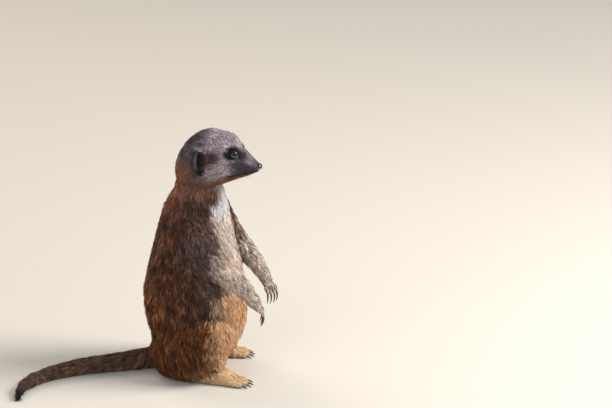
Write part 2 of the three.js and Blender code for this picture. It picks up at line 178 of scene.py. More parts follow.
CLUMP_AREA = 7.0  # square millimetres of skin to a clump, where locks are 0.85 wide
CLUMP_WIDTH = 0.85
CLUMP_PULL = 0.6
BOW = {"head": 26, "body": 160}  # the radius that a lock bends to, so that it follows the form
FLOOR_LOCK = {"height": 0.45, "spread": 0.2}  # how low a lock may lie
TINT = "tint"  # the attribute that stores a mesh's colours

# ---------------------------------------------------------------- the coat's colours
# The dark bands across the back and the rear of the flank: their spacing, the lowest and the highest.
BANDS = {"apart": 11.5, "low": 56, "high": 136}
# Colours of the hair, as red, green and blue up to 255; a few of them are painted light and shade.
HAIR = {
    "crown": (186, 169, 177), "nape_grey": (86, 69, 77), "brow": (235, 222, 216), "mask": (24, 24, 31),
    "temple": (88, 62, 54), "cheek": (196, 178, 180), "muzzle_top": (160, 144, 150),
    "muzzle": (90, 82, 93), "lip": (38, 30, 32), "jaw": (140, 92, 68), "throat": (247, 249, 254),
    "lower_cheek": (146, 96, 56), "ear": (14, 13, 16), "ear_rim": (104, 104, 118),
    "nape": (170, 110, 76), "neck": (82, 58, 50), "shoulder": (100, 82, 82), "back": (98, 64, 44),
    "flank": (146, 87, 47), "haunch": (98, 58, 24), "grey_flank_and_arm_shade": (96, 76, 64), "fold_shade": (86, 46, 22),
    "chest": (253, 240, 230), "spot": (168, 122, 90), "belly": (255, 192, 124),
    "arm": (218, 203, 190), "arm_rear": (104, 84, 76), "arm_patch": (118, 80, 62),
    "knee": (255, 207, 160), "foot": (255, 221, 175), "pad": (58, 44, 40), "tail": (104, 78, 66),
    "tail_under": (140, 106, 80), "tail_tip": (24, 18, 17),
}


# ---------------------------------------------------------------- small tools
def step(low, high, value):
    """0 at low and 1 at high, with a smooth rise between them."""
    part = np.clip((value - low) / (high - low), 0, 1)
    return part * part * (3 - 2 * part)


def blob(points, middle, sizes, soft=0.35):
    """1 inside an ellipsoid round middle and 0 outside it, with a soft edge."""
    reach = np.linalg.norm((points - np.array(middle)) / np.array(sizes), axis=1)
    return step(1 + soft, 1 - soft, reach)


def ripple(points, size, seed):
    """Smooth noise about 0, up to about 1 either way, that changes over about size millimetres."""
    draw = np.random.default_rng(seed)
    waves = draw.normal(size=(10, 3)) / size
    phases = draw.uniform(0, 2 * math.pi, 10)
    return np.sin(points @ waves.T + phases).sum(axis=1) / 3.2


def to_left(points):
    """The points with both sides laid on the left one."""
    points = points.copy()
    points[:, 0] = np.abs(points[:, 0])
    return points


def unit(vectors):
    return vectors / np.maximum(np.linalg.norm(vectors, axis=-1, keepdims=True), 1e-9)


def clear_choice():
    if bpy.context.mode != "OBJECT":
        bpy.ops.object.mode_set(mode="OBJECT")
    bpy.ops.object.select_all(action="DESELECT")


def choose(made):
    clear_choice()
    made.select_set(True)
    bpy.context.view_layer.objects.active = made


def apply_modifier(made, kind, **settings):
    choose(made)
    modifier = made.modifiers.new(kind.lower(), kind)
    for name, value in settings.items():
        setattr(modifier, name, value)
    bpy.ops.object.modifier_apply(modifier=modifier.name)


def read(items, what, width, kind=np.float64):
    values = np.empty(len(items) * width, kind)
    items.foreach_get(what, values)
    return values.reshape(-1, width) if width > 1 else values


def points_of(made):
    return read(made.data.vertices, "co", 3) / MM


def place_points(made, points):
    made.data.vertices.foreach_set("co", (points * MM).ravel())
    made.data.update()


def relax(values, edges, steps, weights):
    """Draws each value towards the mean of its neighbours, by each weight in turn."""
    count = np.bincount(edges.ravel(), minlength=len(values))[:, None]
    for _ in range(steps):
        for weight in weights:
            total = np.stack([
                np.bincount(edges[:, 0], values[edges[:, 1], k], len(values))
                + np.bincount(edges[:, 1], values[edges[:, 0], k], len(values))
                for k in range(values.shape[1])
            ], axis=1)
            values = values + weight * (total / count - values)
    return values


# ---------------------------------------------------------------- stage
def way(azimuth, elevation):
    a, e = math.radians(azimuth), math.radians(elevation)
    return Vector((math.sin(a) * math.cos(e), -math.cos(a) * math.cos(e), math.sin(e)))


def make_camera():
    back = way(CAMERA["azimuth"], CAMERA["elevation"])
    bpy.ops.object.camera_add(location=Vector(CAMERA_TARGET) + back * CAMERA["distance"])
    camera = bpy.context.object
    camera.rotation_euler = (-back).to_track_quat("-Z", "Y").to_euler()
    camera.data.lens = CAMERA["lens"]
    camera.data.sensor_width = CAMERA["sensor"]
    camera.data.clip_start, camera.data.clip_end = 0.1, 60
    bpy.context.scene.camera = camera


def make_lamps():
    for name, (azimuth, elevation, distance, size, power, colour) in LAMPS.items():
        back = way(azimuth, elevation)
        bpy.ops.object.light_add(type="AREA", location=Vector(LIT) + back * distance)
        lamp = bpy.context.object
        lamp.name = name
        lamp.rotation_euler = (-back).to_track_quat("-Z", "Y").to_euler()
        lamp.data.shape = "DISK"
        lamp.data.size = size
        lamp.data.energy = power
        lamp.data.color = colour
    world = bpy.data.worlds.new("studio")
    bpy.context.scene.world = world
    world.use_nodes = True
    sky = world.node_tree.nodes["Background"]
    sky.inputs["Color"].default_value = (*SKY[0], 1)
    sky.inputs["Strength"].default_value = SKY[1]


def make_floor():
    bpy.ops.mesh.primitive_plane_add(size=14)
    floor = bpy.context.object
    floor.name = "floor"
    mat = bpy.data.materials.new("floor")
    mat.use_nodes = True
    shader = mat.node_tree.nodes["Principled BSDF"]
    shader.inputs["Base Color"].default_value = (0.62, 0.585, 0.53, 1)
    shader.inputs["Roughness"].default_value = 0.85
    floor.data.materials.append(mat)


# ---------------------------------------------------------------- skin
def full_copy(name, fuller):
    """A merged copy of a node, a little fuller, so that it runs into its neighbours."""
    made = bpy.data.objects.new(name + "_flesh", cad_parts[name].data.copy())
    bpy.context.scene.collection.objects.link(made)
    made.data.materials.clear()
    choose(made)
    bpy.ops.object.mode_set(mode="EDIT")
    bpy.ops.mesh.select_all(action="SELECT")
    bpy.ops.mesh.remove_doubles(threshold=0.00001)
    bpy.ops.object.mode_set(mode="OBJECT")
    place_points(made, points_of(made) + fuller * read(made.data.vertices, "normal", 3))
    return made


def skin_blank():
    """The flesh as one closed mesh, smooth and finer than the solids."""
    copies = [full_copy(name, FULLER.get(name.rsplit("_", 1)[0], FULLER_REST)) for name in FLESH]
    copies += [full_copy(f"eye_{side}", FULLER["eye"]) for side in SIDES]
    clear_choice()
    for made in copies:
        made.select_set(True)
    bpy.context.view_layer.objects.active = copies[0]
    bpy.ops.object.join()
    skin = bpy.context.object
    skin.name = "skin"
    skin.data.name = "skin"
    apply_modifier(skin, "REMESH", mode="VOXEL", voxel_size=VOXEL * MM)
    return skin


def edges_of(made):
    return read(made.data.edges, "vertices", 2, np.int32)


def thin_out(skin, keep):
    """Fewer faces on the parts under long hair, and all of them kept on head, paws and feet."""
    weights = parts_at(points_of(skin))[0]
    long_hair = np.clip(1 - weights[:, 0] - weights[:, 3] - weights[:, 6], 0, 1)
    group = skin.vertex_groups.new(name="long_hair")
    for level in range(1, 6):
        chosen = np.nonzero(np.ceil(long_hair * 5) == level)[0]
        group.add(chosen.tolist(), level / 5, "REPLACE")
    apply_modifier(skin, "DECIMATE", ratio=keep, vertex_group="long_hair")
    skin.vertex_groups.clear()


def edit_faces(made, chosen):
    """Goes into edit mode with only the chosen faces selected."""
    choose(made)
    bpy.ops.object.mode_set(mode="EDIT")
    bpy.context.tool_settings.mesh_select_mode = (False, False, True)
    bpy.ops.mesh.select_all(action="DESELECT")
    bpy.ops.object.mode_set(mode="OBJECT")
    made.data.polygons.foreach_set("select", chosen)
    bpy.ops.object.mode_set(mode="EDIT")


def middles_of(made):
    return read(made.data.polygons, "center", 3) / MM


def refine(skin, chosen):
    """Divides the faces whose middles are chosen."""
    edit_faces(skin, chosen(middles_of(skin)))
    bpy.ops.mesh.subdivide(number_cuts=1)
    bpy.ops.object.mode_set(mode="OBJECT")


# ---------------------------------------------------------------- where a point lies on the body
def eye_middles(points):
    """The middle of the eye on each point's own side, and the sign that mirrors that side."""
    side = np.where(points[:, 0] < 0, -1.0, 1.0)
    ahead = np.where(side < 0, EYE_AHEAD["right"], EYE_AHEAD["left"])
    return np.stack([side * EYE["x"], EYE["y"] - ahead, np.full(len(points), EYE["z"])], axis=1), side


def line_reading(points, rows):
    """For each point: how far it is outside a line's flesh, the line's way there, and how far along."""
    rows = np.array(rows, float)
    starts, ends = rows[:-1], rows[1:]
    ways = ends[:, :3] - starts[:, :3]
    lengths = np.linalg.norm(ways, axis=1)
    before = np.concatenate([[0], np.cumsum(lengths)[:-1]])
    outside = np.full(len(points), 1e9)
    along = np.zeros(len(points))
    flow = np.zeros((len(points), 3))
    for k in range(len(ways)):
        part = np.clip((points - starts[k, :3]) @ ways[k] / lengths[k] ** 2, 0, 1)
        away = np.linalg.norm(points - starts[k, :3] - part[:, None] * ways[k], axis=1)
        flow += (ways[k] / lengths[k])[None] / (away[:, None] ** 6 + 1e-6)
        far = away - starts[k, 3] - part * (ends[k, 3] - starts[k, 3])
        nearer = far < outside
        outside = np.where(nearer, far, outside)
        along = np.where(nearer, (before[k] + part * lengths[k]) / lengths.sum(), along)
    return outside, unit(flow), along


def parts_at(points):
    """Each point's share in every part, the way its hair lies, and how far along the tail it is."""
    readings = {name: line_reading(points, rows) for name, rows in LINES.items()}
    names = list(LINES)
    outside = np.stack([readings[name][0] for name in names], axis=1)
    shares = np.exp(-(outside - outside.min(axis=1, keepdims=True)) / 2.2)
    shares /= shares.sum(axis=1, keepdims=True)
    weights = np.zeros((len(points), len(PARTS)))
    flow = np.zeros((len(points), 3))
    for k, name in enumerate(names):
        part = name.split("_")[0]
        lie = readings[name][1]
        if part == "thigh":
            lie = unit(0.35 * lie + np.array((0, 0.12, -1.0)))
        weights[:, PARTS.index(part)] += shares[:, k]
        flow += shares[:, k: k + 1] * lie
    sides = blob(to_left(points), (21, -20, 160), (10, 15, 14), 0.6)
    flow += (2.0 * weights[:, 1] * sides)[:, None] * np.array((0, -1.0, -0.1))
    return weights, unit(flow), readings["tail"][2]


def eye_reading(points):
    """For each point: its way from the nearer eye's middle, how far it is, and its place against
    the lids' opening, where 1 is the lids' edge."""
    middles, side = eye_middles(points)
    mirror = np.stack([side, np.ones_like(side), np.ones_like(side)], axis=1)
    away = (points - middles) * mirror
    distance = np.linalg.norm(away, axis=1)
    direction = away / np.maximum(distance, 1e-6)[:, None]
    gaze = unit(np.array(GAZE))
    corner = unit(np.array(INNER_CORNER) - gaze * (gaze @ np.array(INNER_CORNER)))
    upward = np.cross(corner, gaze)
    upward *= np.sign(upward[2])
    turn = np.degrees(np.arccos(np.clip(direction @ gaze, -1, 1)))
    across, rise = direction @ corner, direction @ upward
    angle = np.arctan2(rise, across)
    tall = np.where(rise > 0, OPENING["up"], OPENING["down"])
    edge = 1 / np.hypot(np.cos(angle) / OPENING["long"], np.sin(angle) / tall)
    edge *= 1 - 0.10 * np.abs(np.sin(2 * angle))
    return distance, direction * mirror, turn / edge, across, rise


def mouth_distance(points):
    """How far each point is from the line between the lips."""
    rows = np.array(MOUTH, float)
    folded = to_left(points)
    best = np.full(len(points), 1e9)
    for start, end in zip(rows[:-1], rows[1:]):
        line, past = end - start, folded - start
        part = np.clip(past @ line / (line @ line), 0, 1)
        best = np.minimum(best, np.linalg.norm(past - part[:, None] * line, axis=1))
    return best


def coat_at(points, weights):
    """Each point's coat: its depth, a lock's length and width, and how many grow on a square millimetre."""
    coat = weights @ np.array([COAT[part] for part in PARTS])
    coat = coat + step(0.08, 0.4, weights[:, 3:4]) * (np.array(COAT["hand"]) - coat)
    face = weights[:, :1] * step(-27, -47, points[:, 1:2])
    coat = coat + face * (np.array(FACE_COAT) - coat)
    muzzle = weights[:, :1] * step(-52, -62, points[:, 1:2])
    coat = coat + muzzle * (np.array(MUZZLE_COAT) - coat)
    ear = ear_share(points)[:, None]
    return coat + ear * (np.array(EAR_COAT) - coat)


def ear_share(points):
    """1 on an ear's wall and hollow, 0 off it."""
    return blob(to_left(points), (24.5, -21, 201.3), (5.2, 8, 13), 0.25)


def shape_face(skin):
    """Lids round the eyes, and the line of the mouth with a low ridge along it."""
    points = points_of(skin)
    normals = read(skin.data.vertices, "normal", 3)
    distance, direction, opening, _, _ = eye_reading(points)
    middles, _ = eye_middles(points)
    lid = EYE["radius"] + LID + LID_RIM * step(1.25, 1.05, opening)
    goal = np.where(opening < 1, EYE["radius"] - SOCKET, lid)
    goal = goal + (lid - goal) * step(0.97, 1.03, opening)
    strength = step(1.75, 1.3, opening) * (distance < 9.5)
    points = points + strength[:, None] * (middles + direction * goal[:, None] - points)
    gap = mouth_distance(points)
    points -= normals * (LIP_LINE["depth"] * np.exp(-(gap / LIP_LINE["width"]) ** 2))[:, None]
    edge = (gap - LIP_EDGE["off"]) / LIP_EDGE["width"]
    points += normals * (LIP_EDGE["height"] * np.exp(-edge ** 2))[:, None]
    place_points(skin, points)


def round_ears(points):
    """Ears that stand out most at half their height and run into the head at both ends."""
    x = np.abs(points[:, 0])
    share = np.clip(1 - ((points[:, 2] - EAR["z"]) / (EAR["rise"] + 1.5)) ** 2, 0, 1)
    limit = EAR["x"] - 0.8 + 4.8 * np.sqrt(share)
    pressed = np.where((x > limit) & (ear_share(points) > 0.1), limit + 0.4 * (x - limit), x)
    return points * np.stack([pressed / np.maximum(x, 1e-6), np.ones_like(x), np.ones_like(x)], axis=1)


def even_tail(points, weights):
    """The tail's skin as one smooth round taper along its bend, without the corners of its sections."""
    rows = np.array(LINES["tail"], float)
    padded = np.concatenate([[2 * rows[0] - rows[1]], rows, [2 * rows[-1] - rows[-2]]])
    before, start, end, after = padded[:-3], padded[1:-2], padded[2:-1], padded[3:]
    curve = np.concatenate([
        0.5 * (2 * start + (end - before) * t + (2 * before - 5 * start + 4 * end - after) * t ** 2
               + (3 * start - before - 3 * end + after) * t ** 3)[:, None]
        for t in np.arange(TAIL_STEPS) / TAIL_STEPS], axis=1).reshape(-1, 4)
    curve = np.concatenate([curve, rows[-1:]])
    ways = unit(np.gradient(curve[:, :3], axis=0))
    chosen = np.nonzero(weights[:, PARTS.index("tail")] > 0.3)[0]
    tail = points[chosen]
    nearest = np.linalg.norm(tail[:, None] - curve[None, :, :3], axis=2).argmin(axis=1)
    past = ((tail - curve[nearest, :3]) * ways[nearest]).sum(axis=1)
    past = np.where(nearest == len(curve) - 1, np.minimum(past, 0), past)
    middles = curve[nearest, :3] + past[:, None] * ways[nearest]
    radius = (curve[nearest, 3] - TAIL_INSET) * (1 + 0.06 * ripple(tail, 8, 41))
    goal = middles + unit(tail - middles) * np.maximum(radius, 0.8)[:, None]
    share = step(0.5, 0.95, weights[chosen, PARTS.index("tail")])[:, None]
    points = points.copy()
    points[chosen] += share * (goal - tail)
    return points


def digit_gaps(points, weights):
    """How deep the furrows between the digits are at each point, and a mask for the painted shade in them,
    1 in them and 0 off them.
    """
    depth, furrow_shade = np.zeros(len(points)), np.zeros(len(points))
    for name, across in ACROSS.items():
        part = name.split("_")[0]
        size = DIGIT_ROWS[part]
        start, end = (np.array(row[:3]) for row in LINES[name][-2:])
        ahead = unit(end - start)
        aside = unit(np.array(across) - ahead * (ahead @ np.array(across)))
        forward, away = (points - start) @ ahead, (points - start) @ aside
        near = weights[:, PARTS.index(part)] * (np.linalg.norm(points - end, axis=1) < 30)
        near *= step(size["start"], size["start"] + 4, forward)
        near *= step(size["reach"] + 1, size["reach"] - 1, np.abs(away)) * (points[:, 2] > 1.5)
        for k in (-1, 0, 1):
            middle = k * (size["apart"] + size["fan"] * forward)
            furrow = near * np.exp(-((away - middle) / size["furrow"]) ** 2)
            furrow_shade += furrow
            depth += size["depth"] * furrow
    return depth, furrow_shade


def make_skin():
    skin = skin_blank()
    points = relax(points_of(skin), edges_of(skin), 7, SMOOTH)
    place_points(skin, points)
    thin_out(skin, KEPT_FACES)
    weights = parts_at(points_of(skin))[0]
    depth = coat_at(points_of(skin), weights)[:, :1]
    depth = relax(depth, edges_of(skin), 12, EVEN)
    normals = relax(read(skin.data.vertices, "normal", 3), edges_of(skin), 6, EVEN)
    points = points_of(skin) - unit(normals) * depth
    points = even_tail(relax(points, edges_of(skin), 3, SMOOTH_LIGHT), weights)
    points += unit(normals) * (BROW["swell"] * blob(points, BROW["middle"], BROW["sizes"], 0.7))[:, None]
    place_points(skin, round_ears(points))
    refine(skin, lambda middles: (middles[:, 1] < FINE_MUZZLE["y"]) & (middles[:, 2] > FINE_MUZZLE["z"]))
    for size in FINE_EYES:
        refine(skin, lambda middles: eye_reading(middles)[0] < size)
    shape_face(skin)
    points = points_of(skin)
    furrow = digit_gaps(points, parts_at(points)[0])[0][:, None]
    place_points(skin, points - furrow * read(skin.data.vertices, "normal", 3))
    return skin


# ---------------------------------------------------------------- markings
def paint(name):
    """A hair colour in linear light."""
    value = np.array(HAIR[name]) / 255
    return np.where(value <= 0.04045, value / 12.92, ((value + 0.055) / 1.055) ** 2.4)


def markings(points, normals, weights, along):
    """The coat's colour at each point, and how strongly dark and light hairs mix there."""
    folded = to_left(points)
    x, y, z = folded.T
    colour = np.tile(paint("back"), (len(points), 1))
    grizzle = np.full(len(points), 0.85)

    def lay(name, amount, strength=None):
        share = np.clip(amount, 0, 1)
        colour[:] += share[:, None] * (paint(name) - colour)
        if strength is not None:
            grizzle[:] += share * (strength - grizzle)

    head, body, arm, hand, thigh, shank, foot, tail = weights.T
    rough = 0.5 * ripple(points, 6, 3) + 0.5 * ripple(points, 2.5, 4)
    wide = ripple(points, 16, 5)
    # Trunk and neck: brown behind, pale in front, the edge between them as an angle from the front.
    angle = np.degrees(np.arctan2(x, -(y + 6.5))) + 7 * rough + 3 * ripple(points, 1.2, 6)
    lay("flank", body * step(70, 100, angle) * step(110, 70, z) * (0.55 + 0.4 * wide))
    lay("shoulder", body * step(95, 40, angle) * step(125, 150, z), 0.6)
    lay("neck", step(142, 156, z) * body, 0.45)
    lay("nape", step(146, 166, z) * body * step(76, 116, angle) * (0.8 + 0.3 * rough), 0.5)
    lay("lower_cheek", body * step(169, 175, z) * step(118, 95, angle), 0.3)
    # Grey hair low on the flank under the arm, darkened further with painted shade from the arm.
    lay("grey_flank_and_arm_shade", body * step(80, 62, angle) * step(112, 96, z), 0.45)
    bands = step(0.1, 0.8, np.sin((z + 2.5 * wide - 0.05 * x ** 2) * 2 * np.pi / BANDS["apart"]))
    bands *= step(BANDS["low"] - 8, BANDS["low"] + 8, z) * step(BANDS["high"] + 10, BANDS["high"] - 10, z)
    lay("lip", body * bands * step(108, 140, angle) * (0.6 + 0.25 * rough))
    # Painted shade: a dark band low on the trunk's side, in the fold over the haunch.
    lay("fold_shade", body * step(75, 105, angle) * blob(folded * (0, 0, 1), (0, 0, 50), (1, 1, 8), 0.5) * 0.8)
    edge = 38 - 8 * step(140, 110, z) - 6 * step(150, 165, z)
    edge = edge + 15 * step(90, 74, z) - 20 * step(162, 177, z)
    pale = body * step(edge + 9, edge - 9, angle)
    lay("chest", pale, 0.30)
    lay("spot", pale * blob(folded, (11, -38, 122), (5, 7, 9), 0.5) * 0.5, 0.5)
    lay("spot", pale * step(0.25, 0.9, ripple(points, 7, 8)) * step(120, 135, z) * 0.55)
    lay("belly", pale * step(120, 78, z) * (0.68 + 0.3 * rough), 0.22)
    lay("throat", body * step(edge + 2, edge - 9, angle) * step(146, 158, z), 0.1)
    # Arms: cream with dark hairs, the rear edge darker.
    rear = step(-0.1, 0.75, normals[:, 1]) * step(0.6, -0.2, -normals[:, 1])
    lay("shoulder", arm * step(150, 130, z), 0.55)
    lay("arm", arm * step(-34, -50, y + 5 * rough), 0.55)
    lay("arm_rear", arm * rear * (0.75 + 0.25 * rough), 0.5)
    lay("arm", arm * step(0, 1, points[:, 0]) * step(-22, -39, y + 5 * rough), 0.55)
    lay("arm_patch", arm * step(0, 1, points[:, 0]) * blob(folded, (27, -30, 128), (9, 10, 13), 0.5) * 0.7)
    lay("arm", hand, 0.4)
    # Haunch, knee, shank and foot.
    lay("haunch", thigh + shank, 0.8)
    ragged = y + 4 * rough + 5 * ripple(points, 0.6, 31)
    front = step(-31, -46, ragged) + step(-19, -33, ragged) * (points[:, 0] > 0)
    lay("knee", (thigh + shank) * front, 0.2)
    lay("foot", shank * front * step(38, 18, z), 0.05)
    lay("foot", foot, 0.1)
    # Painted shade in the furrows between the digits.
    lay("lip", 0.85 * digit_gaps(points, weights)[1], 0.1)
    lay("pad", foot * step(-0.55, -0.85, normals[:, 2]), 0.1)
    # Tail: grizzled brown, paler below, with a dark tip.
    lay("tail", tail, 0.55)
    lay("tail_under", tail * step(0.1, -0.7, normals[:, 2]) * 0.6)
    lay("tail_tip", tail * step(0.84, 0.95, along + 0.012 * rough), 0.1)
    paint_head(points, folded, normals, head, rough, lay)
    return colour, grizzle


def paint_head(points, folded, normals, head, rough, lay):
    """The marks of the head, one over another."""
    x, y, z = folded.T
    near_eye = folded + (0, EYE["y"], 0) - eye_middles(points)[0] * (0, 1, 0)
    lay("crown", head, 0.42)
    lay("nape_grey", head * step(-33, -14, y) * (0.8 + 0.25 * rough), 0.4)
    lay("nape", head * step(-6, 6, y) * step(212, 196, z), 0.25)
    lay("temple", head * blob(folded, (21, -31, 205), (7, 8, 6.5), 0.5), 0.36)
    lay("nape", head * step(-20, -9, y) * step(205, 193, z) * (0.85 + 0.3 * rough), 0.4)
    lay("cheek", head * blob(folded, (16, -42, 195), (7, 9, 9), 0.6) * (0.75 + 0.25 * rough), 0.62)
    lay("lower_cheek", head * step(189, 182, z) * step(-44, -36, y) * (0.9 + 0.2 * rough), 0.35)
    lay("muzzle_top", head * step(-48, -55, y), 0.3)
    fine = 3 * rough + 1.5 * ripple(points, 1.2, 9)
    muzzle = head * step(-45, -52, y + fine) * step(0.62, 0.15, normals[:, 2])
    lay("muzzle", muzzle * step(206, 202, z + 0.4 * fine), 0.3)
    lay("jaw", head * step(-36, -44, y) * step(-0.15, -0.55, normals[:, 2]) * step(192, 189, z), 0.2)
    lay("cheek", head * step(6.5, 2.5, x + 0.5 * fine) * step(192, 189, z) * step(-34, -44, y) * 0.8, 0.3)
    lay("brow", head * blob(folded, (1.5, -48.2, 214.8), (4.2, 3.4, 2.4), 0.5) * 0.35, 0.2)
    lay("brow", head * blob(near_eye, (10.5, -42.0, 215.7), (4.5, 4.8, 1.8), 0.5) * 0.35)
    lay("mask", head * blob(near_eye, (11.5, -45.2, 208.6), (9, 7.6, 5.5), 0.24), 0.12)
    lay("mask", head * blob(near_eye, (7.0, -52.0, 205.8), (5.4, 5.2, 4.2), 0.5) * 0.85, 0.12)
    lay("muzzle", head * step(-61, -65, y) * 0.6)
    gap = mouth_distance(points)
    lay("lip", head * step(1.5, 0.5, gap) * step(-40, -43, y), 0.05)
    ear = ear_share(points)
    lay("temple", ear, 0.3)
    lay("cheek", ear * step(-0.2, -0.7, normals[:, 1]) * step(22, 23.5, x) * 0.6, 0.4)
    ragged = folded + (0, 1, 0) * (1.3 * ripple(points, 1.4, 12))[:, None]
    lay("ear", blob(ragged, (24.5, -20.6, 201.3), (8, 5.2, 11.6), 0.2), 0.1)
    # Painted highlight: a pale bluish grey line along the outer edge of the ear's rear wall.
    lay("ear_rim", ear * step(24.4, 25.3, x) * step(-22, -19, y) * step(192, 198, z), 0.2)
    lay("nape_grey", ear * step(0.1, 0.6, normals[:, 1]) * step(25.5, 24, x), 0.3)
    lay("temple", blob(folded, (24, -25.5, 205.5), (5, 3.5, 6), 0.5) * 0.5)
    lay("brow", (head + ear) * blob(folded, (21.5, -19.8, 213.3), (4.0, 5.6, 1.3), 0.5) * 0.6)
    under = head * step(182, 174, z) * step(-14, -24, y) * step(0, -0.5, normals[:, 2])
    lay("throat", under * step(11, 5, x), 0.1)


# ---------------------------------------------------------------- coat
def lock_pattern(rings):
    """The corners of a lock's faces, and each corner's place in its patch."""
    faces, places = [], []
    for k in range(3):
        near, far = 1 + k, 1 + (k + 1) % 3
        u = (k / 3, (k + 1) / 3, (k + 0.5) / 3)
        faces.append((0, far, near))
        places.append(((u[2], 0), (u[1], 1 / (rings + 1)), (u[0], 1 / (rings + 1))))
        for ring in range(rings - 1):
            low, high = (ring + 1) / (rings + 1), (ring + 2) / (rings + 1)
            a, b = near + 3 * ring, far + 3 * ring
            faces += [(a, b, b + 3), (a, b + 3, a + 3)]
            places += [((u[0], low), (u[1], low), (u[1], high)), ((u[0], low), (u[1], high), (u[0], high))]
        a, b = near + 3 * (rings - 1), far + 3 * (rings - 1)
        faces.append((a, b, 3 * rings + 1))
        places.append(((u[0], rings / (rings + 1)), (u[1], rings / (rings + 1)), (u[2], 1)))
    return np.array(faces), np.array(places)


def region_of(points, weights):
    """The coat piece that each point of the skin belongs to."""
    part = weights.argmax(axis=1)
    x, y, z = points.T
    region = np.full(len(points), 0)
    front = np.degrees(np.arctan2(np.abs(x), -(y + 6.5))) < 52
    names = [name for name, _, _ in COAT_PIECES]

    def put(name, chosen):
        region[chosen] = names.index(name)

    put("coat_head", part == 0)
    put("coat_face", (part == 0) & (y < -33))
    put("coat_back", part == 1)
    put("coat_rump", (part == 1) & (z < 84))
    put("coat_neck", (part == 1) & (z > 140))
    put("coat_chest", (part == 1) & front & (z <= 140))
    put("coat_belly", (part == 1) & front & (z < 84))
    put("coat_arm_right", ((part == 2) | (part == 3)) & (x < 0))
    put("coat_arm_left", ((part == 2) | (part == 3)) & (x >= 0))
    put("coat_haunch_right", (part == 4) & (x < 0))
    put("coat_haunch_left", (part == 4) & (x >= 0))
    put("coat_legs", (part == 5) | (part == 6))
    put("coat_tail", part == 7)
    return region


def map_regions(skin, face_regions):
    """Unwraps each region of the skin by its own shape, to fill the whole map."""
    skin.data.uv_layers.new(name="regions")
    for k in range(len(COAT_PIECES)):
        edit_faces(skin, face_regions == k)
        bpy.ops.uv.smart_project(angle_limit=math.radians(75), island_margin=0.003)
        bpy.ops.object.mode_set(mode="OBJECT")
    places = read(skin.data.uv_layers["regions"].data, "uv", 2)
    skin.data.uv_layers.remove(skin.data.uv_layers["regions"])
    return places


def sow(skin, draw):
    """Roots of the coat: the skin's triangles, and each root's triangle and place in it."""
    mesh = skin.data
    mesh.calc_loop_triangles()
    corners = read(mesh.loop_triangles, "vertices", 3, np.int32)
    loops = read(mesh.loop_triangles, "loops", 3, np.int32)
    areas = read(mesh.loop_triangles, "area", 1) / MM ** 2
    points = points_of(skin)
    weights, flow, along = parts_at(points)
    edges = edges_of(skin)
    flow = relax(flow, edges, 14, EVEN)
    normals = unit(relax(read(mesh.vertices, "normal", 3), edges, 2, EVEN))
    coat = relax(coat_at(points, weights), edges, 3, EVEN)
    bare = (eye_reading(points)[2] < 1.12) & (eye_reading(points)[0] < 9)
    bare |= blob(points, (0, NOSE["y"], NOSE["z"]), (4.6, 3.6, 3.3), 0.02) > 0.5
    bare |= points[:, 2] < 0.35
    density = coat[:, 3] * ~bare
    wanted = areas * density[corners].mean(axis=1)
    count = np.floor(wanted + draw.random(len(wanted))).astype(int)
    chosen = np.repeat(np.arange(len(corners)), count)
    share = np.sort(draw.random((len(chosen), 2)), axis=1)
    share = np.stack([share[:, 0], share[:, 1] - share[:, 0], 1 - share[:, 1]], axis=1)
    fields = np.hstack([points, normals, flow, weights, along[:, None], coat])
    at = np.einsum("nk,nkf->nf", share, fields[corners[chosen]])
    return {
        "points": at[:, :3], "normals": unit(at[:, 3:6]), "flow": at[:, 6:9],
        "weights": at[:, 9:17], "along": at[:, 17], "depth": at[:, 18], "length": at[:, 19],
        "width": at[:, 20], "density": at[:, 21], "loops": loops[chosen], "share": share,
    }


def turned(vectors, axes, angles):
    """Each vector turned round its own axis."""
    c, s = np.cos(angles)[:, None], np.sin(angles)[:, None]
    return vectors * c + np.cross(axes, vectors) * s


def lock_spines(roots, draw, levels):
    """The middle points of each lock, its sides and its widths."""
    n = len(roots["points"])
    normals, length, depth = roots["normals"], roots["length"], roots["depth"]
    seeds = draw.random(n) < 1 / (roots["density"] * CLUMP_AREA * roots["width"] / CLUMP_WIDTH)
    seeds[0] = True
    seed_ids = np.nonzero(seeds)[0]
    tree = KDTree(len(seed_ids))
    for k, place in enumerate(roots["points"][seed_ids]):
        tree.insert(place, k)
    tree.balance()
    clump = np.array([tree.find(place)[1] for place in roots["points"]])
    centre = roots["points"][seed_ids][clump]
    clump_values = draw.normal(size=(len(seed_ids), 3))[clump]
    own_values = draw.normal(size=(n, 4))
    lie = unit(roots["flow"] - normals * (roots["flow"] * normals).sum(axis=1, keepdims=True))
    head = roots["weights"][:, 0]
    swing = (11 - 7 * head) * clump_values[:, 0] + (8 - 2 * head) * own_values[:, 0]
    lie = turned(lie, normals, np.radians(swing))
    length = length * np.clip(1 + 0.16 * own_values[:, 1], 0.6, 1.4)
    rise = depth * np.clip(0.86 + 0.16 * clump_values[:, 1] + 0.12 * own_values[:, 2], 0.45, 1.35)
    aside = centre - roots["points"]
    aside -= lie * (aside * lie).sum(axis=1, keepdims=True)
    pull = CLUMP_PULL * (1 - 0.75 * head)
    bow = length ** 2 * (head / BOW["head"] + (1 - head) / BOW["body"]) / 2
    spine = []
    for part, lift in levels:
        reach = np.maximum(part, 0)
        spine.append(
            roots["points"] + lie * (length * reach)[:, None]
            + normals * (rise * lift - bow * reach ** 2 + min(part, 0))[:, None]
            + aside * (pull * reach ** 1.4)[:, None]
        )
    spine = np.stack(spine, axis=1)
    # Locks that would run through the floor are pressed flat on it.
    lowest = FLOOR_LOCK["height"] + FLOOR_LOCK["spread"] * draw.random((n, len(levels) - 1))
    spine[:, 1:, 2] = np.maximum(spine[:, 1:, 2], lowest)
    sides = turned(np.cross(lie, normals), lie, 0.5 * own_values[:, 3])
    return spine, sides, np.cross(sides, lie), clump_values[:, 2]


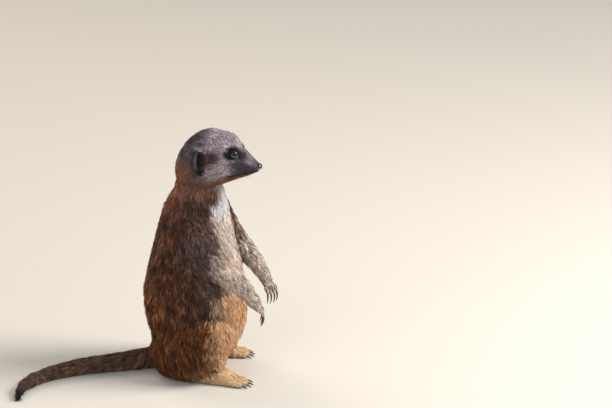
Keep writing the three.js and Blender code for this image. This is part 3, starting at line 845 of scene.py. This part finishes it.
def lock_colours(roots, draw, clump_tone, rings):
    """Each lock's colour from root to tip."""
    colour, grizzle = markings(roots["points"], roots["normals"], roots["weights"], roots["along"])
    n = len(colour)
    head = roots["weights"][:, 0]
    streak = np.where(head > 0.5, ripple(roots["points"] * (1, 0.3, 1), 0.6, 21),
                      ripple(roots["points"] * (1, 1, 0.25), 0.8, 22))
    tone = (0.8 - 0.5 * head - 0.3 * roots["weights"][:, 2]) * clump_tone
    tone = tone + 0.45 * streak + 0.65 * draw.normal(size=n)
    tone = grizzle * np.clip(tone, -2.2, 1.7)
    colour = colour * np.exp(tone)[:, None]
    # Darker locks are the warmer ones.
    warm = 0.5 * (1 - head) * (0.25 * draw.random(n) + np.clip(-tone, 0, 0.8))
    colour = colour * np.stack([np.ones(n), 1 - 0.22 * warm, 1 - 0.42 * warm], axis=1)
    dark_tip = draw.random(n) < 0.5 * np.clip(grizzle / 0.5, 0, 1.1)
    tip = np.where(dark_tip, 0.34, 1.0 + 0.5 * grizzle)
    fade = {1: (0.5, 0.95, tip), 2: (0.42, 0.86, 1.08, tip)}[rings]
    levels = np.stack([colour * (f if np.isscalar(f) else f[:, None]) for f in fade], axis=1)
    return levels / np.maximum(levels.max(axis=2, keepdims=True) / 0.93, 1)


def lock_mesh(name, spine, sides, ups, width, colours, places):
    """One closed mesh of many locks: each a thin spike that is pointed at both ends."""
    rings = spine.shape[1] - 2
    points, tints = [spine[:, 0]], [colours[:, 0]]
    for ring in range(rings):
        middle, wide = spine[:, ring + 1], width[:, None] / 2 * RING_WIDTHS[ring]
        points += [middle - sides * wide, middle + ups * wide * 0.75, middle + sides * wide]
        tints += [colours[:, ring + 1]] * 3
    points = np.stack(points + [spine[:, -1]], axis=1)
    tints = np.stack(tints + [colours[:, -1]], axis=1)
    faces, patch = lock_pattern(rings)
    n, per_lock = points.shape[:2]
    corners = (faces[None] + (np.arange(n) * per_lock)[:, None, None]).reshape(-1)
    mesh = bpy.data.meshes.new(name)
    mesh.vertices.add(n * per_lock)
    mesh.vertices.foreach_set("co", points.reshape(-1) * MM)
    mesh.loops.add(len(corners))
    mesh.loops.foreach_set("vertex_index", corners.astype(np.int32))
    mesh.polygons.add(len(corners) // 3)
    mesh.polygons.foreach_set("loop_start", np.arange(0, len(corners), 3, dtype=np.int32))
    mesh.update(calc_edges=True)
    layer = mesh.uv_layers.new(name="OFBake")
    centre = np.clip(places, PATCH / 2, 1 - PATCH / 2)
    layer.data.foreach_set("uv", (centre[:, None, None] + (patch[None] - 0.5) * PATCH).reshape(-1))
    tint_mesh(mesh, tints.reshape(-1, 3))
    made = bpy.data.objects.new(name, mesh)
    bpy.context.scene.collection.objects.link(made)
    choose(made)
    bpy.ops.object.shade_smooth()
    mesh.materials.append(hair_material())
    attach(made, "root")
    return made


def coat_piece(name, roots, draw, rings, places):
    """All the locks that grow on one region."""
    spine, sides, ups, clump_tone = lock_spines(roots, draw, {1: SHORT_LEVELS, 2: LONG_LEVELS}[rings])
    colours = lock_colours(roots, draw, clump_tone, rings)
    width = roots["width"] * draw.uniform(0.75, 1.25, len(sides))
    made = lock_mesh(name, spine, sides, ups, width, colours, places)


def make_whiskers(draw):
    """Long single hairs on the lips, over the eyes and in front of the ears."""
    rows = []
    for mirror in (-1, 1):
        for start, way, length, dark in WHISKERS:
            for k in range(3):
                place = np.array(start) + np.array((0.3, 1.7, -0.5)) * (k - 1) + draw.normal(size=3) * 0.3
                aim = unit(np.array(way) + draw.normal(size=3) * 0.12)
                turn = (mirror, 1, 1)
                rows.append((place * turn, aim * turn, length * draw.uniform(0.8, 1.15), dark))
    starts, aims = np.array([row[0] for row in rows]), np.array([row[1] for row in rows])
    lengths, dark = np.array([row[2] for row in rows]), np.array([row[3] for row in rows])
    sag = np.array((0, 0.35, -0.5))
    spine = np.stack([
        starts + aims * (lengths * part)[:, None] + sag * (lengths * 0.5 * max(part, 0) ** 2)[:, None]
        for part in (-0.08, 0.3, 0.68, 1.0)
    ], axis=1)
    sides = unit(np.cross(aims, (0.1, 0.2, 1.0)))
    colour = np.where(dark[:, None] > 0, paint("mask"), paint("brow"))
    colours = np.repeat(colour[:, None], 4, axis=1)
    width = np.full(len(rows), WHISKER_WIDTH)
    places = draw.random((len(rows), 2))
    made = lock_mesh("whiskers", spine, sides, np.cross(sides, aims), width, colours, places)


def tint_mesh(mesh, colours):
    """Stores a colour at each point of a mesh."""
    layer = mesh.attributes.new(TINT, "FLOAT_COLOR", "POINT")
    layer.data.foreach_set("color", np.hstack([colours, np.ones((len(colours), 1))]).reshape(-1))


def make_coat(skin):
    draw = np.random.default_rng(11)
    roots = sow(skin, draw)
    middles = middles_of(skin)
    face_regions = region_of(middles, parts_at(middles)[0])
    skin_places = map_regions(skin, face_regions)
    loop_faces = np.repeat(np.arange(len(middles)), read(skin.data.polygons, "loop_total", 1, np.int32))
    regions = face_regions[loop_faces[roots["loops"][:, 0]]]
    places = np.einsum("nk,nkf->nf", roots["share"], skin_places[roots["loops"]])
    for k, (name, slot, rings) in enumerate(COAT_PIECES):
        here = np.nonzero(regions == k)[0]
        own = {what: values[here] for what, values in roots.items()}
        coat_piece(name, own, draw, rings, places[here])


# ---------------------------------------------------------------- finishes
MATERIALS = {}  # the finishes made so far, by name


def new_material(name, roughness):
    mat = bpy.data.materials.new(name)
    mat.use_nodes = True
    shader = mat.node_tree.nodes["Principled BSDF"]
    shader.inputs["Roughness"].default_value = roughness
    return mat, mat.node_tree, shader


def stored(tree, name):
    """A node that reads what a mesh stores under a name."""
    made = tree.nodes.new("ShaderNodeAttribute")
    made.attribute_name = name
    return made


def noise(tree, scale, detail=3.0, roughness=0.6):
    """Noise that changes with the place on the object, in turns a metre."""
    place = tree.nodes.new("ShaderNodeTexCoord")
    made = tree.nodes.new("ShaderNodeTexNoise")
    made.inputs["Scale"].default_value = scale
    made.inputs["Detail"].default_value = detail
    made.inputs["Roughness"].default_value = roughness
    tree.links.new(place.outputs["Object"], made.inputs["Vector"])
    return made.outputs["Fac"]


def ramp(tree, value, stops):
    made = tree.nodes.new("ShaderNodeValToRGB")
    points = made.color_ramp.elements
    while len(points) < len(stops):
        points.new(0.5)
    for point, (place, colour) in zip(points, stops):
        point.position = place
        point.color = (*colour, 1)
    tree.links.new(value, made.inputs["Fac"])
    return made.outputs["Color"]


def multiplied(tree, first, second):
    mix = tree.nodes.new("ShaderNodeMix")
    mix.data_type = "RGBA"
    mix.blend_type = "MULTIPLY"
    mix.inputs["Factor"].default_value = 1
    tree.links.new(first, mix.inputs[6])
    tree.links.new(second, mix.inputs[7])
    return mix.outputs[2]


def bump(tree, shader, height, distance, strength=1.0):
    made = tree.nodes.new("ShaderNodeBump")
    made.inputs["Distance"].default_value = distance
    made.inputs["Strength"].default_value = strength
    tree.links.new(height, made.inputs["Height"])
    tree.links.new(made.outputs["Normal"], shader.inputs["Normal"])


def tinted_material(name, roughness, sheen, scale, low, high, bump_size):
    """A finish that shows the stored colours, broken up by fine noise."""
    if name in MATERIALS:
        return MATERIALS[name]
    mat, tree, shader = new_material(name, roughness)
    tint = stored(tree, TINT)
    grain = noise(tree, scale)
    shades = ramp(tree, grain, ((0.3, (low,) * 3), (0.7, (high,) * 3)))
    tree.links.new(multiplied(tree, tint.outputs["Color"], shades), shader.inputs["Base Color"])
    shader.inputs["Sheen Weight"].default_value = sheen
    shader.inputs["Sheen Roughness"].default_value = 0.45
    shader.inputs["Specular IOR Level"].default_value = 0.22
    bump(tree, shader, grain, bump_size)
    MATERIALS[name] = mat
    return mat


def hair_material():
    return tinted_material("hair", 0.55, 0.05, 1400, 0.78, 1.2, 0.00006)


def skin_material():
    return tinted_material("skin", 0.7, 0.0, 900, 0.7, 1.15, 0.0002)


def finish_skin(skin):
    points = points_of(skin)
    weights, _, along = parts_at(points)
    normals = read(skin.data.vertices, "normal", 3)
    colour, _ = markings(points, normals, weights, along)
    distance, _, opening, across, rise = eye_reading(points)
    rim = (step(1.4, 1.15, opening) * (distance < 8))[:, None]
    colour = 0.62 * colour
    colour += rim * (np.array((0.012, 0.010, 0.012)) - colour)
    # Painted reflection: a pale bluish crescent along the wet edge of the lower lid.
    lower = rim * (step(-0.15, -0.4, rise) * step(1.22, 1.12, opening) * step(-0.75, -0.3, across))[:, None]
    colour += lower * (np.array((0.16, 0.15, 0.19)) - colour)
    tint_mesh(skin.data, colour)
    skin.data.materials.clear()
    skin.data.materials.append(skin_material())
    choose(skin)
    bpy.ops.object.shade_smooth()
    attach(skin, "root")
    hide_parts(*FLESH)


# ---------------------------------------------------------------- eyes, nose and claws
def ball(name, middle, sizes, segments=56, rings=36):
    """A closed ball with its place in its mesh, in millimetres."""
    clear_choice()
    bpy.ops.mesh.primitive_uv_sphere_add(segments=segments, ring_count=rings, radius=1)
    made = bpy.context.object
    made.name = name
    made.data.name = name
    directions = read(made.data.vertices, "co", 3)
    place_points(made, np.array(middle) + directions * np.array(sizes))
    bpy.ops.object.shade_smooth()
    return made, directions


def make_eye(side):
    """An eyeball with a slightly proud cornea, and its turn from the gaze stored for the iris."""
    mirror = np.array((SIDES[side], 1, 1))
    middle = np.array((EYE["x"], EYE["y"] - EYE_AHEAD[side], EYE["z"])) * mirror
    made, directions = ball(f"eyeball_{side}", middle, (1, 1, 1))
    gaze = unit(np.array(GAZE) * mirror)
    # The ball's pole is turned to the gaze, so that the iris is made of even rings.
    turn = np.array(Vector((0, 0, 1)).rotation_difference(Vector(gaze)).to_matrix())
    directions = directions @ turn.T
    angle = np.degrees(np.arccos(np.clip(directions @ gaze, -1, 1)))
    bulge = 0.32 * step(40, 8, angle)
    place_points(made, middle + directions * (EYE["radius"] + bulge)[:, None])
    layer = made.data.attributes.new("turn", "FLOAT", "POINT")
    layer.data.foreach_set("value", (angle / 90).astype(np.float32))
    made.data.materials.append(eye_material())
    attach(made, "root")
    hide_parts(f"eye_{side}")


def eye_material():
    if "eye" in MATERIALS:
        return MATERIALS["eye"]
    mat, tree, shader = new_material("eye", 0.1)
    turn = stored(tree, "turn")
    zones = ramp(tree, turn.outputs["Fac"], (
        (0.0, (0.0015, 0.0012, 0.001)), (0.22, (0.002, 0.0015, 0.001)), (0.26, (0.016, 0.008, 0.004)),
        (0.34, (0.028, 0.013, 0.006)), (0.41, (0.012, 0.006, 0.003)), (0.46, (0.003, 0.002, 0.002)),
        (0.60, (0.012, 0.009, 0.008)),
    ))
    threads = ramp(tree, noise(tree, 2600, 4), ((0.35, (0.55,) * 3), (0.65, (1.35,) * 3)))
    tree.links.new(multiplied(tree, zones, threads), shader.inputs["Base Color"])
    shader.inputs["Specular IOR Level"].default_value = 0.05
    shader.inputs["Coat Weight"].default_value = 1
    shader.inputs["Coat IOR"].default_value = 1.45
    shader.inputs["Coat Roughness"].default_value = 0.03
    MATERIALS["eye"] = mat
    return mat


def make_nose():
    """The bare pad of the nose, with two nostrils and a furrow below them, painted darker as shade where
    they are pressed in.
    """
    middle = (0, NOSE["y"], NOSE["z"])
    sizes = np.array((NOSE["half"], NOSE["length"], NOSE["height"]))
    made, directions = ball("nose_pad", middle, sizes, 72, 48)
    folded = to_left(directions)
    shrink = np.zeros(len(directions))
    for spot, reach, depth in NOSTRILS:
        away = np.linalg.norm(folded - unit(np.array(spot)), axis=1)
        shrink += depth * step(reach, reach * 0.35, away)
    furrow = step(0.16, 0.04, folded[:, 0]) * step(0.25, -0.2, directions[:, 2]) * (directions[:, 1] < 0)
    shrink = np.clip(shrink + 0.14 * furrow, 0, 0.55)
    place_points(made, np.array(middle) + directions * sizes * (1 - shrink)[:, None])
    colour = np.tile((0.018, 0.015, 0.017), (len(directions), 1))
    pink = (step(0.0, -0.55, directions[:, 2]) * (directions[:, 1] < 0))[:, None]
    colour = colour + pink * (np.array((0.16, 0.09, 0.095)) - colour)
    # Painted shade: the nostrils and the furrow are darker the deeper they are pressed in.
    colour *= (1 - 0.9 * np.clip(shrink / 0.4, 0, 1))[:, None]
    tint_mesh(made.data, colour)
    made.data.materials.append(nose_material())
    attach(made, "root")
    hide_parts("nose")


def nose_material():
    """Damp, pebbled leather."""
    mat, tree, shader = new_material("nose", 0.34)
    tint = stored(tree, TINT)
    place = tree.nodes.new("ShaderNodeTexCoord")
    pebbles = tree.nodes.new("ShaderNodeTexVoronoi")
    pebbles.inputs["Scale"].default_value = 2600
    tree.links.new(place.outputs["Object"], pebbles.inputs["Vector"])
    shades = ramp(tree, pebbles.outputs["Distance"], ((0.1, (1.25,) * 3), (0.7, (0.6,) * 3)))
    tree.links.new(multiplied(tree, tint.outputs["Color"], shades), shader.inputs["Base Color"])
    shader.inputs["Coat Weight"].default_value = 0.5
    shader.inputs["Coat Roughness"].default_value = 0.18
    bump(tree, shader, pebbles.outputs["Distance"], 0.00008, -0.7)
    return mat


def claw_material():
    """Dark horn, streaked and a little paler in places."""
    mat, tree, shader = new_material("claw", 0.3)
    streaks = noise(tree, 700, 4)
    shades = ramp(tree, streaks, (
        (0.30, (0.010, 0.011, 0.014)), (0.50, (0.028, 0.028, 0.034)), (0.72, (0.075, 0.058, 0.050)),
    ))
    tree.links.new(shades, shader.inputs["Base Color"])
    shader.inputs["Coat Weight"].default_value = 0.6
    shader.inputs["Coat Roughness"].default_value = 0.15
    bump(tree, shader, streaks, 0.00008)
    return mat


def finish_claws():
    """The claws stay the solids' own, rounded."""
    mat = claw_material()
    for side in SIDES:
        for limb in ("fore", "hind"):
            for digit in DIGITS:
                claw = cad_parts[f"{limb}_claw_{side}_{digit}"]
                weld = claw.modifiers.new("weld", "WELD")
                weld.merge_threshold = 0.00001
                rounding = claw.modifiers.new("rounding", "SUBSURF")
                rounding.levels = rounding.render_levels = 2
                claw.data.materials.clear()
                claw.data.materials.append(mat)
                choose(claw)
                bpy.ops.object.shade_smooth()


def main():
    bpy.context.scene.view_settings.view_transform = "Standard"
    make_camera()
    make_lamps()
    make_floor()
    skin = make_skin()
    make_coat(skin)
    finish_skin(skin)
    make_whiskers(np.random.default_rng(5))
    for side in SIDES:
        make_eye(side)
    make_nose()
    finish_claws()


main()
